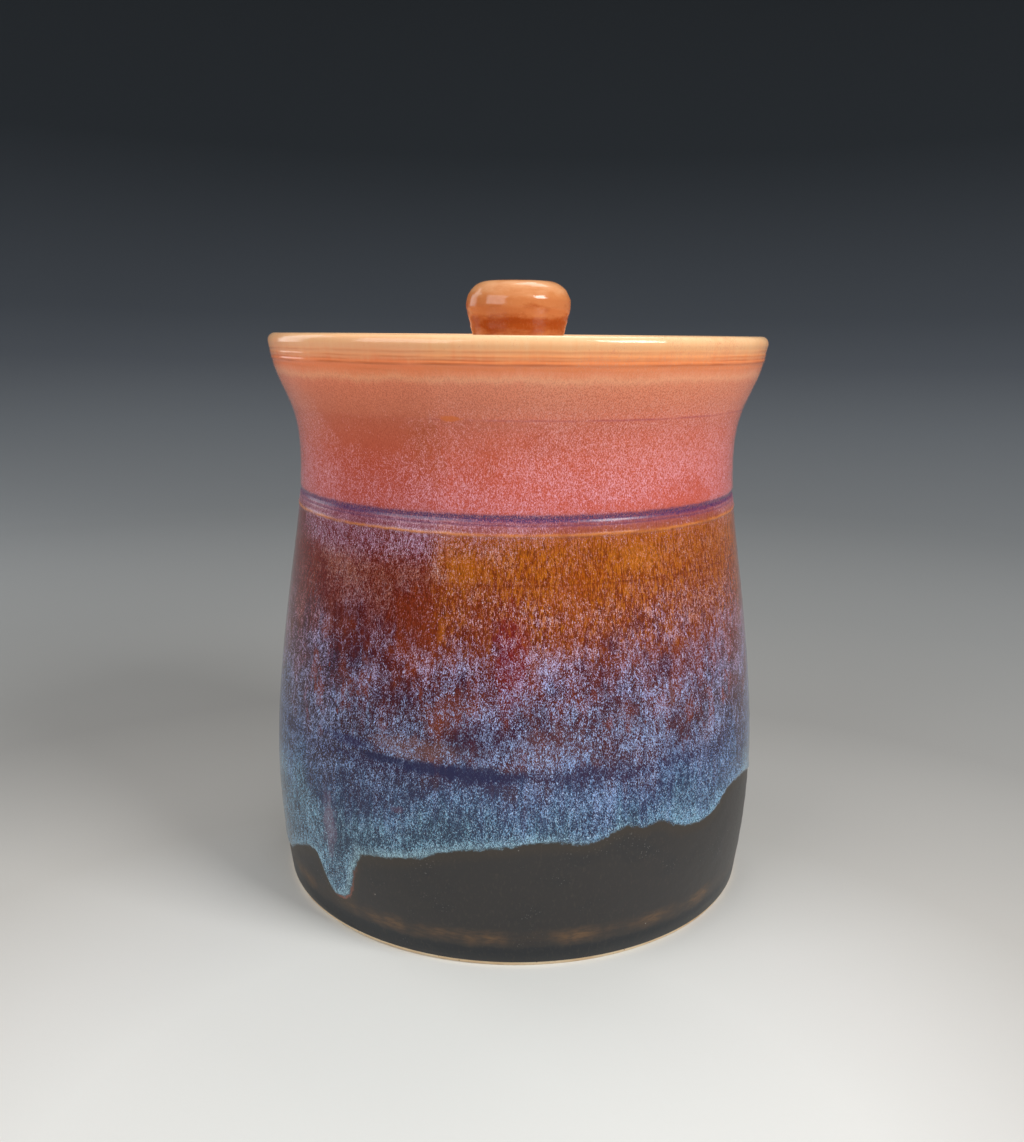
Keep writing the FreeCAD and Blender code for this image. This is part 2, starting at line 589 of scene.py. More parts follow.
@dataclass(frozen=True)
class LayeredGlaze:
    """The jar's outside: salmon over coral, then amber and maroon under blue crystals, over a black glaze.

    The colours follow the height, pulled up and down in streaks as the glazes ran. Crystals are short curly upright
    flecks, which crowd further down. The mark "fall" is the height above the upper glazes' lower edge, "warmth" is 1
    where the middle of the wall is amber and 0 where it is maroon, "frost" says how many millimetres higher than
    usual the crystals start, "pallor" how pale the lower edge turns, and "tip" where a reddish line shows round a run.

    Attributes:
        amber: The running colours by height, where the middle is warm. From 148.4 up they are partly the glaze and
            partly painted light: lighter on the flare and under the lip, which lie in shade, and on the lip's top.
        maroon: The same where it is not.
        crystals: The crystals' colours by height.
        crowding: How closely they lie, by height.
        streaks: Single streaks below the crystals. The navy one at 38 degrees left and the four orange-brown
        blotches in the coral are a painted reflection.
        flaws_and_painted_reflection: Single spots over them. The deep navy bar low on the front left, with the
        spot at 38 degrees left, is a painted reflection.
    """

    amber: Stops = shades(
        (34.0, 24, 56, 86), (44.0, 24, 48, 88), (50.0, 34, 42, 86), (56.0, 54, 28, 58),
        (66.0, 78, 26, 34), (76.0, 96, 30, 22), (88.0, 120, 40, 8), (98.0, 140, 54, 0),
        (108.0, 170, 80, 0), (117.4, 184, 94, 6), (119.4, 174, 88, 66), (121.6, 168, 86, 92),
        # From 148.4 up, partly painted light: lighter on the shaded flare, under the lip and on its top.
        (124.6, 214, 100, 82), (134.0, 218, 100, 74), (146.6, 222, 113, 84), (148.4, 238, 130, 98),
        (156.0, 248, 150, 112), (157.6, 255, 174, 132), (159.0, 248, 152, 108), (160.2, 242, 142, 92),
        (161.6, 250, 146, 88), (163.0, 255, 166, 106), (165.0, 255, 186, 128), (168.2, 255, 210, 160),
    )
    maroon: Stops = shades(
        (34.0, 22, 54, 84), (44.0, 20, 42, 84), (50.0, 28, 24, 68), (56.0, 42, 16, 50),
        (66.0, 62, 12, 32), (76.0, 78, 10, 20), (88.0, 94, 16, 6), (98.0, 108, 26, 10),
        (108.0, 116, 34, 24), (117.4, 124, 46, 46), (119.4, 134, 60, 70), (121.6, 130, 58, 80),
        # From 148.4 up, partly painted light: lighter on the shaded flare, under the lip and on its top.
        (124.6, 192, 84, 68), (134.0, 198, 84, 58), (146.6, 208, 104, 72), (148.4, 220, 120, 86),
        (156.0, 240, 136, 98), (157.6, 255, 168, 122), (159.0, 250, 146, 98), (160.2, 248, 138, 88),
        (161.6, 255, 144, 92), (163.0, 255, 168, 116), (165.0, 255, 180, 130), (168.2, 255, 200, 148),
    )
    crystals: Stops = shades(
        (34.0, 134, 188, 216), (44.0, 120, 168, 212), (54.0, 140, 176, 232), (66.0, 164, 192, 246),
        (76.0, 180, 192, 248), (86.0, 200, 184, 228), (96.0, 210, 156, 164), (110.0, 212, 138, 100),
        (119.0, 206, 140, 156), (128.0, 236, 168, 182), (144.0, 236, 160, 158), (158.0, 240, 160, 118),
    )
    crowding: Stops = weights(
        (34.0, 0.48), (50.0, 0.44), (60.0, 0.38), (74.0, 0.38), (84.0, 0.36), (94.0, 0.33), (104.0, 0.28),
        (114.0, 0.22), (122.0, 0.56), (136.0, 0.54), (150.0, 0.4), (159.0, 0.3), (162.0, 0.0),
    )
    streaks: tuple[Spot, ...] = (
        Spot(-15.5, 101.0, 1.7, 11.0, 0.6, tint(218, 122, 12)),
        Spot(-11.0, 110.0, 6.0, 6.0, 0.6, tint(204, 112, 8)),
        Spot(-21.0, 108.0, 3.0, 7.0, 0.45, tint(176, 84, 8)),
        Spot(-7.0, 98.0, 4.0, 7.0, 0.5, tint(134, 48, 6)),
        Spot(-30.0, 104.0, 6.0, 10.0, 0.4, tint(120, 40, 12)),
        Spot(-20.0, 61.5, 14.0, 3.4, 0.45, tint(146, 96, 82)),
        Spot(8.0, 63.0, 12.0, 7.0, 0.25, tint(142, 88, 80)),
        Spot(-12.0, 72.0, 9.0, 6.0, 0.55, tint(138, 62, 32)),
        Spot(-22.0, 94.0, 7.0, 14.0, 0.45, tint(150, 58, 6)),
        Spot(-1.0, 88.0, 4.8, 15.0, 0.55, tint(136, 22, 34)),
        Spot(12.0, 104.0, 6.0, 12.0, 0.45, tint(176, 82, 8)),
        # A painted reflection: a navy streak that carries the navy bar of the spots below on to the left.
        Spot(-38.0, 60.0, 12.0, 2.0, 0.7, tint(34, 22, 70)),
        Spot(-6.0, 66.0, 9.0, 7.0, 0.6, tint(52, 12, 56)),
        Spot(43.6, 114.5, 1.6, 5.0, 0.75, tint(84, 38, 10)),
        Spot(39.0, 113.0, 1.2, 4.0, 0.5, tint(96, 44, 10)),
        Spot(28.0, 112.0, 9.0, 4.5, 0.5, tint(206, 116, 18)),
        # These four orange-brown blotches in the coral are a painted reflection of something dark.
        Spot(-20.0, 138.0, 7.0, 10.0, 0.65, tint(192, 88, 40)),
        Spot(-31.0, 134.0, 4.0, 9.0, 0.5, tint(192, 80, 56)),
        Spot(-6.0, 134.0, 5.0, 9.0, 0.55, tint(194, 88, 46)),
        Spot(6.0, 141.0, 9.0, 4.0, 0.45, tint(200, 88, 56)),
    )
    flaws_and_painted_reflection: tuple[Spot, ...] = (
        # These four spots, a deep navy bar low on the front left, are a painted reflection of something dark.
        Spot(-28.0, 57.6, 7.5, 1.2, 0.85, tint(8, 16, 66), 76.0),
        Spot(-19.0, 57.0, 9.0, 1.9, 0.86, tint(8, 16, 68), 76.0),
        Spot(-9.0, 56.6, 9.5, 2.5, 0.86, tint(10, 14, 66), 76.0),
        Spot(-1.0, 55.8, 5.0, 1.6, 0.6, tint(14, 18, 66), 76.0),
        Spot(-8.0, 65.0, 9.0, 5.5, 0.4, tint(34, 8, 44), 76.0),
        Spot(3.0, 74.0, 6.0, 4.5, 0.24, tint(44, 10, 30), 74.0),
        Spot(24.0, 71.0, 6.0, 4.5, 0.24, tint(44, 16, 40), 74.0),
        # A painted reflection, like the navy bar.
        Spot(-38.0, 60.0, 9.0, 1.5, 0.42, tint(32, 26, 80)),
        Spot(-13.7, 147.8, 3.2, 0.7, 0.85, tint(226, 112, 40), 67.9),
        Spot(35.0, 73.6, 1.0, 4.6, 0.8, tint(104, 48, 26), 74.0),
        Spot(-43.0, 33.0, 2.8, 9.0, 0.34, tint(146, 116, 138), 76.0),
        Spot(-24.0, 44.0, 2.0, 1.2, 0.5, tint(90, 56, 80), 76.0),
    )
    glint: Colour = tint(220, 230, 250)
    shade: Colour = tint(34, 8, 16)
    coral_shade: Colour = tint(172, 62, 34)
    lilac: Colour = tint(190, 154, 196)
    iron_black: Colour = tint(43, 40, 39)
    iron_blue: Colour = tint(24, 28, 33)
    iron_brown: Colour = tint(58, 48, 36)
    iron_rust: Colour = tint(112, 82, 52)
    iron_haze: Colour = tint(84, 72, 62)
    iron_dust: Colour = tint(150, 146, 138)
    iron_gap: Colour = tint(112, 42, 18)
    gold: Colour = tint(208, 118, 18)
    umber: Colour = tint(128, 50, 2)
    ember: Colour = tint(140, 56, 14)
    plum: Colour = tint(48, 8, 50)
    indigo: Colour = tint(34, 22, 66)
    pooled: Colour = tint(74, 48, 98)
    amber_edge: Colour = tint(220, 134, 62)
    overlap: Colour = tint(186, 78, 88)
    burnt: Colour = tint(214, 112, 60)
    pale_edge: Colour = tint(166, 200, 210)
    halo: Colour = tint(140, 84, 70)

    def make(self) -> bpy.types.Material:
        """Builds the material.

        Returns:
            The material, which reads the marks "fall", "warmth", "frost", "pallor" and "tip".
        """
        mix = GlazeKitchen("layered_glaze")
        fall = mix.mark("fall")
        streaks = mix.grain((1.6, 36.0), 3.0, 0.65)
        drift = mix.grain((13.0, 18.0), 3.0)
        pull = mix.sum("MULTIPLY_ADD", mix.less(drift, 0.5), 26.0, mix.centred(streaks, 26.0))
        level = mix.sum("MULTIPLY_ADD", pull, mix.rise(mix.height, 110.0, 118.0, 1.0, 0.1), mix.height)
        upper = self._crystals(mix, fall, level, self._running(mix, level))
        upper = self._spots(mix, self.flaws_and_painted_reflection, self._lines(mix, upper))
        black, flecks = self._black(mix, fall)
        frayed = mix.plus(mix.centred(mix.grain((0.8, 0.8)), 1.5), mix.centred(mix.grain((2.6, 2.6), 1.0), 1.6))
        edge = mix.plus(frayed, fall)
        covered = mix.rise(edge, -0.5, 0.5)
        halo = mix.times(mix.band(edge, -0.6, 0.32, 0.28), mix.mark("tip"))
        colour = mix.blend(covered, mix.blend(halo, black, self.halo), upper)
        roughness = mix.sum("MULTIPLY_ADD", covered, -0.27, mix.rise(flecks, 0.0, 1.0, 0.34, 0.46))
        roughness = mix.sum("MULTIPLY_ADD", mix.band(mix.height, 120.4, 2.8, 0.6), 0.16, roughness)
        lean = mix.bump(mix.times(mix.grain((0.5, 1.2), 1.0, 0.5, 0.6), covered), 0.02)
        lean = mix.bump(mix.grain((7.0, 5.0)), 0.12, lean)
        return mix.fire(colour, roughness, lean, 1.5, 0.5)

    def _running(self, mix: GlazeKitchen, level: Socket) -> Socket:
        """The colours that the crystals lie on: amber or maroon by height, with rivulets, moods and single streaks.

        Args:
            mix: The material's nodes.
            level: The height, pulled up and down in streaks.

        Returns:
            The colour.
        """
        under = mix.blend(mix.mark("warmth"), mix.ramp(level, self.maroon), mix.ramp(level, self.amber))
        rivulets = mix.grain((0.5, 5.0), 2.0, 0.6)
        mood = mix.grain((6.0, 10.0), 3.0, 0.6)
        golden = mix.times(mix.band(mix.height, 103.0, 15.0, 8.0), mix.mark("warmth"))
        middle = mix.band(mix.height, 78.0, 17.0, 9.0)
        for where, noise, low, high, strength, colour in (
            (golden, rivulets, 0.48, 0.62, 0.7, self.gold),
            (golden, rivulets, 0.5, 0.38, 0.8, self.umber),
            (middle, mood, 0.5, 0.66, 0.55, self.ember),
            (middle, mood, 0.48, 0.34, 0.6, self.plum),
        ):
            under = mix.blend(mix.times(where, mix.rise(noise, low, high, 0.0, strength)), under, colour)
        return self._spots(mix, self.streaks, under)

    def _crystals(self, mix: GlazeKitchen, fall: Socket, level: Socket, under: Socket) -> Socket:
        """Strews crystals over the running colours.

        They crowd by the ramp of crowding. Clumps, clouds and clear gaps make them crowd more or leave the colour
        below bare, they are few where that colour is amber or deep maroon, and they turn pale at the lower edge.

        Args:
            mix: The material's nodes.
            fall: The height above the lower edge.
            level: The height, pulled up and down in streaks.
            under: The colour that they lie on.

        Returns:
            The colour.
        """
        warmth = mix.mark("warmth")
        flecks, dust = self._flecks(mix)
        sparkle = mix.grain((0.22, 0.34), 0.0)
        belly = mix.rise(mix.height, 116.0, 124.0, 1.0, 0.0)
        started = mix.plus(mix.centred(mix.grain((9.0, 5.0)), 16.0), mix.height)
        crowd = mix.ramp(mix.less(started, mix.mark("frost")), self.crowding)
        crowd = mix.plus(crowd, mix.rise(fall, 6.0, 0.0, 0.0, 0.16))
        clumps = mix.centred(mix.grain((1.5, 3.2), 2.0, 0.6), 0.42)
        clouds = mix.centred(mix.grain((14.0, 9.0), 1.0), 0.28)
        bunch = mix.times(mix.plus(clumps, clouds), mix.rise(mix.height, 110.0, 124.0, 1.0, 0.5))
        grown = mix.plus(flecks, bunch)
        seam = mix.band(mix.plus(mix.centred(mix.grain((11.0, 6.0)), 7.0), mix.height), 55.5, 1.6, 1.4)
        threshold = mix.plus(mix.sum("MULTIPLY_ADD", crowd, -0.42, 0.765), mix.times(seam, 0.05))
        share = mix.rise(grown, mix.less(threshold, 0.03), mix.plus(threshold, 0.05))
        share = mix.times(share, mix.rise(sparkle, 0.3, 0.62, 0.42, 1.15))
        share = mix.times(share, mix.rise(mix.height, 112.0, 124.0, 1.0, 0.86))
        clear = mix.times(mix.band(mix.height, 109.0, 8.0, 5.0), warmth)
        share = mix.times(share, mix.rise(clear, 0.0, 1.0, 1.0, 0.5))
        bare = mix.times(mix.band(mix.height, 101.0, 10.0, 7.0), mix.rise(warmth, 0.5, 0.1))
        share = mix.times(share, mix.rise(bare, 0.0, 1.0, 1.0, 0.45))
        deep = mix.rise(dust, 0.3, 0.6, 0.5, 0.0)
        grounded = mix.blend(mix.times(deep, belly), under, self.shade)
        grounded = mix.blend(mix.times(deep, mix.band(mix.height, 140.0, 18.0, 4.0)), grounded, self.coral_shade)
        grounded = mix.blend(mix.times(seam, 0.6), grounded, self.indigo)
        cool = mix.times(mix.band(mix.height, 114.5, 4.5, 4.0), mix.rise(warmth, 0.7, 0.1, 0.0, 0.7))
        crystal = mix.blend(cool, mix.ramp(level, self.crystals), self.lilac)
        crystal = mix.blend(mix.times(mix.rise(sparkle, 0.5, 0.8, 0.0, 0.6), belly), crystal, self.glint)
        colour = mix.blend(share, grounded, crystal)
        rim = mix.times(mix.rise(fall, 3.4, 0.1, 0.0, 0.95), mix.rise(grown, 0.42, 0.72, 0.2, 1.0))
        colour = mix.blend(mix.times(rim, mix.mark("pallor")), colour, self.pale_edge)
        gaps = mix.rise(mix.grain((2.2, 5.0), 1.0), 0.69, 0.74)
        gaps = mix.times(gaps, mix.band(mix.height, 73.0, 12.0, 5.0))
        return mix.blend(mix.times(gaps, 0.7), colour, self.iron_gap)

    def _spots(self, mix: GlazeKitchen, spots: tuple[Spot, ...], colour: Socket) -> Socket:
        """Lays single spots and streaks over the colour, with frayed edges.

        Args:
            mix: The material's nodes.
            spots: The spots, from the lowest to the topmost.
            colour: The colour that they lie on.

        Returns:
            The colour.
        """
        fray = mix.centred(mix.grain((1.6, 5.0), 3.0, 0.6), 1.7)
        for spot in spots:
            away = mix.plus(mix.distance(spot.centre(), (spot.width, spot.width, spot.tall)), fray)
            colour = mix.blend(mix.rise(away, 1.25, 0.55, 0.0, spot.strength), colour, spot.colour)
        return colour

    def _flecks(self, mix: GlazeKitchen) -> tuple[Socket, Socket]:
        """The crystals' fine pattern: two crossing sets of curly strokes over a fine dust, upright rain on amber.

        A stroke is the line on which a noise passes through its middle value.

        Args:
            mix: The material's nodes.

        Returns:
            The flecks, and the dust that they are made of.
        """
        dust = mix.grain((0.24, 0.56), 1.0, 0.6, 0.5)
        rain = mix.grain((0.24, 1.0), 1.0, 0.6, 0.2)
        dust = mix.sum("MULTIPLY_ADD", mix.less(rain, dust), mix.band(mix.height, 104.0, 16.0, 8.0), dust)
        crossing = mix.stretch(mix.here, (1.0, 1.0, -1.0))
        strokes = []
        for size, where in (((0.5, 1.25), mix.here), ((0.62, 1.1), crossing)):
            middle = mix.sum("ABSOLUTE", mix.less(mix.grain(size, 0.0, 0.5, 1.6, where), 0.5))
            strokes.append(mix.rise(middle, 0.0, 0.08, 1.0, 0.0))
        ground = mix.sum("MULTIPLY_ADD", dust, 0.85, 0.01)
        return mix.sum("MULTIPLY_ADD", mix.sum("MAXIMUM", *strokes), 0.21, ground), dust

    def _lines(self, mix: GlazeKitchen, colour: Socket) -> Socket:
        """Draws lines round the wall: glaze pooled in the grooves, edges that it ran off, and the lip's burnt lines.

        Args:
            mix: The material's nodes.
            colour: The colour that they lie on.

        Returns:
            The colour.
        """
        shake = mix.plus(mix.centred(mix.grain((3.0, 3.0), 3.0), 0.9), mix.height)
        drawn = mix.plus(mix.centred(mix.grain((12.0, 9.0)), 0.5), mix.height)
        worn = mix.rise(mix.grain((16.0, 1.4)), 0.36, 0.64, 0.1, 0.9)
        speckle = mix.rise(mix.grain((0.26, 0.4), 1.0, 0.6), 0.36, 0.56, 0.3, 0.95)
        broken = mix.rise(mix.grain((6.0, 2.0), 3.0), 0.3, 0.6, 0.3, 0.9)
        right = mix.times(broken, mix.mark("warmth"))
        for level, middle, half, soft, wear, strength, line_colour in (
            (shake, 122.6, 1.0, 0.45, speckle, 1.0, self.pooled),
            (shake, 120.9, 0.25, 0.3, speckle, 0.6, self.pooled),
            (shake, 118.45, 0.3, 0.35, broken, 0.85, self.amber_edge),
            (shake, 105.8, 0.2, 0.2, broken, 0.5, self.iron_gap),
            (drawn, 147.5, 0.25, 0.25, right, 0.7, self.overlap),
            (drawn, 159.9, 0.4, 0.4, worn, 0.3, self.burnt),
            (drawn, 161.2, 0.28, 0.2, worn, 1.0, self.burnt),
            (drawn, 162.1, 0.16, 0.15, worn, 0.7, self.burnt),
            (drawn, 163.0, 0.2, 0.2, worn, 0.55, self.burnt),
            (drawn, 164.2, 0.25, 0.3, worn, 0.4, self.burnt),
        ):
            share = mix.times(mix.band(level, middle, half, soft), mix.times(wear, strength))
            colour = mix.blend(share, colour, line_colour)
        return colour

    def _black(self, mix: GlazeKitchen, fall: Socket) -> tuple[Socket, Socket]:
        """The iron glaze round the foot.

        It is charcoal, browner below the other glazes' edge, and rusty in patches near the foot, with a grey haze,
        dust and a few pale specks.

        Args:
            mix: The material's nodes.
            fall: The height above the other glazes' lower edge, which is below 0 here.

        Returns:
            The colour, and the flecks that also make it duller.
        """
        clouds = mix.grain((16.0, 9.0), 4.0, 0.6)
        flecks = mix.grain((0.7, 1.4), 3.0, 0.6)
        level = mix.plus(mix.centred(mix.grain((5.0, 3.0)), 2.4), mix.height)
        low = mix.plus(mix.rise(clouds, 0.5, 0.75, 0.0, 0.5), mix.rise(level, 6.6, 5.2))
        patches = mix.rise(mix.grain((15.0, 40.0), 2.0, 0.6), 0.38, 0.62, 0.12, 1.0)
        rust = mix.times(patches, mix.band(level, 9.0, 1.4, 2.3))
        rust = mix.times(rust, mix.rise(mix.grain((3.4, 0.8), 3.0, 0.6), 0.36, 0.62, 0.35, 1.0))
        dusty = mix.times(mix.rise(mix.cells(0.9), 0.24, 0.12), mix.rise(clouds, 0.54, 0.7, 0.0, 0.4))
        colour = self.iron_black
        for share, over in (
            (low, self.iron_blue),
            (mix.rise(fall, -4.5, -0.8, 0.0, 0.6), self.iron_brown),
            (rust, self.iron_rust),
            (mix.rise(flecks, 0.5, 0.8, 0.0, 0.3), self.iron_haze),
            (dusty, self.iron_dust),
            (mix.rise(mix.cells(8.0), 0.03, 0.018, 0.0, 0.8), self.iron_dust),
        ):
            colour = mix.blend(share, colour, over)
        return colour, flecks


@dataclass(frozen=True)
class SalmonGlaze:
    """The single glaze on the lid and its knob: salmon, browner where it is thin and paler where it is thick.

    Attributes:
        name: The material's name.
        thick: Its colour where it is thick.
        body: Its usual colour.
        bare: Its colour where it ran thin.
        matt_below: The height below which it is duller, on the lid's plate.
    """

    name: str = "salmon_glaze"
    thick: Colour = tint(230, 166, 116)
    body: Colour = tint(210, 134, 80)
    bare: Colour = tint(172, 80, 24)
    matt_below: float = 165.3

    def make(self) -> bpy.types.Material:
        """Builds the material.

        Returns:
            The material, which reads the mark "thickness": 0 where the glaze ran off and 1 where it gathered.
        """
        mix = GlazeKitchen(self.name)
        fine = mix.grain((0.6, 1.0), 2.0, 0.55)
        depth = mix.sum("MULTIPLY_ADD", mix.less(mix.grain((7.0, 2.6), 4.0, 0.6), 0.5), 0.95, mix.mark("thickness"))
        colour = mix.blend(mix.rise(depth, 0.0, 0.45), self.bare, self.body)
        colour = mix.blend(mix.rise(depth, 0.5, 1.0), colour, self.thick)
        colour = mix.blend(mix.rise(fine, 0.5, 0.75, 0.0, 0.12), colour, self.thick)
        lean = mix.bump(mix.grain((6.0, 4.0)), 0.08, mix.bump(fine, 0.02))
        matt = mix.rise(mix.height, self.matt_below + 0.7, self.matt_below - 0.7, 0.0, 0.16)
        return mix.fire(colour, mix.plus(mix.rise(fine, 0.2, 0.8, 0.08, 0.16), matt), lean, 1.5, 0.5)


@dataclass(frozen=True)
class LinerGlaze(SalmonGlaze):
    """The thinner, redder coat of the same glaze inside the jar and under the lid."""

    name: str = "liner_glaze"
    thick: Colour = tint(222, 150, 116)
    body: Colour = tint(202, 116, 84)
    bare: Colour = tint(172, 88, 56)


@dataclass(frozen=True)
class BareClay:
    """Fired stoneware with no glaze: cream, with sand and small specks of iron.

    Attributes:
        cream: Its usual colour.
        toasted: Its colour in patches and between the grains of sand.
        iron: The specks' colour.
    """

    cream: Colour = tint(240, 218, 186)
    toasted: Colour = tint(224, 192, 152)
    iron: Colour = tint(112, 74, 48)

    def make(self) -> bpy.types.Material:
        """Builds the material.

        Returns:
            The material.
        """
        mix = GlazeKitchen("bare_clay")
        sand = mix.grain((0.45, 0.45), 3.0, 0.65)
        colour = mix.blend(mix.rise(mix.grain((14.0, 14.0), 4.0, 0.6), 0.35, 0.7), self.cream, self.toasted)
        colour = mix.blend(mix.rise(sand, 0.5, 0.75, 0.0, 0.4), colour, self.toasted)
        colour = mix.blend(mix.rise(mix.cells(2.2), 0.13, 0.06, 0.0, 0.8), colour, self.iron)
        return mix.fire(colour, mix.rise(sand, 0.3, 0.7, 0.78, 0.92), mix.bump(sand, 0.12), 1.5, 0.3)


# The canister's pieces


@dataclass(frozen=True)
class Run:
    """A tongue of the upper glazes that ran further down.

    Attributes:
        angle: Where its middle is, in degrees.
        depth: How far it fell, in millimetres.
        left: How far it reaches to the left, in degrees.
        right: How far it reaches to the right, in degrees.
    """

    angle: float
    depth: float
    left: float
    right: float

    def tongue(self, angles: np.ndarray) -> np.ndarray:
        """1 in its middle, round at the tip and flared at the root: 1 - the sine of a quarter turn of u, to the third.

        Args:
            angles: Degrees round the axis. u is their distance from the middle, over the reach on that side.

        Returns:
            One value for each angle.
        """
        away = apart(angles, self.angle)
        near = np.clip(np.where(away < 0, -away / self.left, away / self.right), 0.0, 1.0)
        return 1.0 - np.sin(math.pi / 2 * near) ** 3


@dataclass
class Jar:
    """The thrown jar: foot, belly, waist with its grooves and ridge, flared lip, gallery for the lid, and inside.

    Attributes:
        clay_inset: How far the clay lies inside the plain body's outside, to leave room for the glaze.
        glaze_stop: The height inside the lip where the glaze ends and the bare gallery starts.
        ledge_fillet: Radius of the corner between the gallery's wall and its ledge.
        ledge_round: Radius of the ledge's edge over the throat.
        even_height: Where the outside's rows start to be level all round.
        even_rows: Stretches of level rows: their first and last height, and how many.
        edge_steps: Heights of rows beside the glaze's lower edge, above it.
        wall_points: Radius and height of points up the outside, as on the plain body.
        lines: Lines in the clay: their height, how far they stand out or, below 0, in, and their width.
        glaze_line: Angle and height of points along the upper glazes' lower edge.
        amber_places: Bells of warmth: their middle, width and height.
        frosted_places: Bells of frost, likewise.
        pale_places: Bells of pallor, likewise.
        runs: The tongues below the lower edge.
    """

    name: str = "glazed_jar"
    rim_height: float = 168.2
    foot_radius: float = 74.1
    bevel_height: float = 1.2
    bevel_width: float = 0.9
    lip_radius: float = 75.05
    lip_outer_round: float = 2.3
    lip_inner_round: float = 1.8
    gallery_radius: float = 68.8
    ledge_height: float = 158.2
    throat_radius: float = 61.3
    neck_height: float = 131.0
    wall: float = 5.5
    base_thickness: float = 8.0
    inside_corner: float = 6.0
    clay_inset: float = 0.56
    glaze_stop: float = 162.0
    ledge_fillet: float = 0.8
    ledge_round: float = 0.9
    columns: int = 400
    even_height: float = 98.0
    even_rows: tuple[tuple[float, float, int], ...] = (
        (100.0, 116.4, 9), (117.2, 124.4, 32), (125.6, 156.0, 22), (157.2, 165.9, 34),
    )
    edge_steps: tuple[float, ...] = (
        -3.2, -2.1, -1.3, -0.8, -0.5, -0.3, -0.15, 0.0, 0.12, 0.25, 0.4, 0.6, 0.9, 1.3, 1.8, 2.6, 3.8,
    )
    wall_points: Points = (
        (74.1, 1.2), (75.6, 13.0), (76.85, 37.0), (74.9, 66.0), (70.85, 96.0),
        (66.8, 131.0), (68.5, 146.2), (73.3, 158.2), (75.05, 165.9),
    )
    lines: Places = (
        (122.5, -0.34, 0.8), (120.9, -0.12, 0.45), (118.4, 0.2, 0.55), (105.8, 0.05, 0.5),
        (160.4, -0.07, 0.35), (161.3, 0.14, 0.35), (162.2, -0.06, 0.35),
        (162.9, 0.06, 0.3), (163.6, -0.08, 0.35), (164.8, -0.05, 0.3),
    )
    glaze_line: Points = (
        (-180.0, 33.0), (-158.0, 38.0), (-144.0, 34.0), (-134.0, 29.0), (-126.0, 27.4), (-114.0, 27.0),
        (-90.0, 19.0), (-74.0, 12.0), (-66.0, 13.0), (-58.0, 18.5), (-51.2, 21.4), (-46.0, 22.5),
        (-38.0, 25.0), (-33.0, 27.6), (-21.1, 30.8), (-14.7, 34.0), (-4.7, 36.2), (9.3, 37.8),
        (16.2, 37.0), (24.5, 40.0), (27.0, 38.8), (30.6, 39.5), (35.6, 36.8), (42.8, 34.8),
        (48.3, 35.5), (52.8, 39.0), (62.0, 40.0), (78.0, 34.0), (96.0, 29.0), (112.0, 33.6),
        (120.0, 32.6), (130.0, 34.0), (142.0, 39.0), (162.0, 36.0), (180.0, 33.0),
    )
    amber_places: Places = (
        (30.0, 24.0, 1.0), (66.0, 18.0, 0.8), (0.0, 14.0, 0.65), (-15.0, 3.2, 0.5),
        (150.0, 34.0, 0.9), (-110.0, 22.0, 0.8),
    )
    frosted_places: Places = (
        (42.0, 16.0, 9.0), (-34.0, 20.0, -22.0), (-4.0, 5.0, -8.0), (16.0, 8.0, 5.0),
        (130.0, 30.0, 8.0), (-140.0, 26.0, -10.0),
    )
    pale_places: Places = (
        (-28.0, 20.0, 0.9), (6.0, 14.0, 0.45), (128.0, 24.0, 0.9), (-130.0, 20.0, 0.8),
    )
    runs: tuple[Run, ...] = (Run(-41.0, 12.8, 9.2, 7.4), Run(128.0, 15.0, 9.0, 8.0), Run(-126.0, 10.0, 9.5, 11.0))

    def columns_round(self) -> np.ndarray:
        """Angles of the columns, closer together across each run.

        The count of columns per degree is 1 plus a bell 2.4 times as high at each run; its running total, brought to
        the number of columns, says where each column stands.

        Returns:
            Rising angles from -180 degrees, in degrees.
        """
        fine = np.linspace(-180.0, 180.0, 7201)
        crowding = 1.0 + sum(2.4 * bell(apart(fine, run.angle), 0.0, run.left + run.right) for run in self.runs)
        total = np.concatenate([[0.0], np.cumsum((crowding[1:] + crowding[:-1]) / 2)])
        return np.interp(np.linspace(0.0, total[-1], self.columns + 1)[:-1], total, fine)

    def lower_edge(self, angles: np.ndarray) -> np.ndarray:
        """Height of the upper glazes' lower edge.

        It is a spline through the glaze line's points, which is carried on past both ends so that it meets itself, with
        small wavers, less each run's tongue.

        Args:
            angles: Degrees round the axis.

        Returns:
            One height for each angle.
        """
        turn = np.array([360.0, 0.0])
        stations = np.array(self.glaze_line[:-1])
        smooth = spline_through(np.concatenate([stations[-3:] - turn, stations, stations[:4] + turn]), 2400)
        line_height = np.interp(angles, smooth[:, 0], smooth[:, 1])
        notches = 0.5 * waver(angles, 3, 14, 60) + 0.45 * waver(angles, 29, 70, 140)
        return line_height + notches - sum(run.depth * run.tongue(angles) for run in self.runs)

    def tongues(self, angles: np.ndarray) -> np.ndarray:
        """How far each angle lies in a tongue of glaze, from 0 to 1."""
        return np.clip(sum(run.tongue(angles) for run in self.runs), 0.0, 1.0)

    def tips(self, angles: np.ndarray) -> np.ndarray:
        """How strongly a reddish line shows round each tongue: its own share, from its middle to the right."""
        reddish = [run.tongue(angles) * easing(apart(angles, run.angle), -3.5, 0.5) for run in self.runs]
        return np.clip(sum(reddish), 0.0, 1.0)

    def glaze_warmth(self, angles: np.ndarray) -> np.ndarray:
        """1 where the middle of the wall is amber: bells of several widths, and a quick waver."""
        return np.clip(bells(angles, self.amber_places) + 0.16 * waver(angles, 11, 6, 60), 0.0, 1.0)

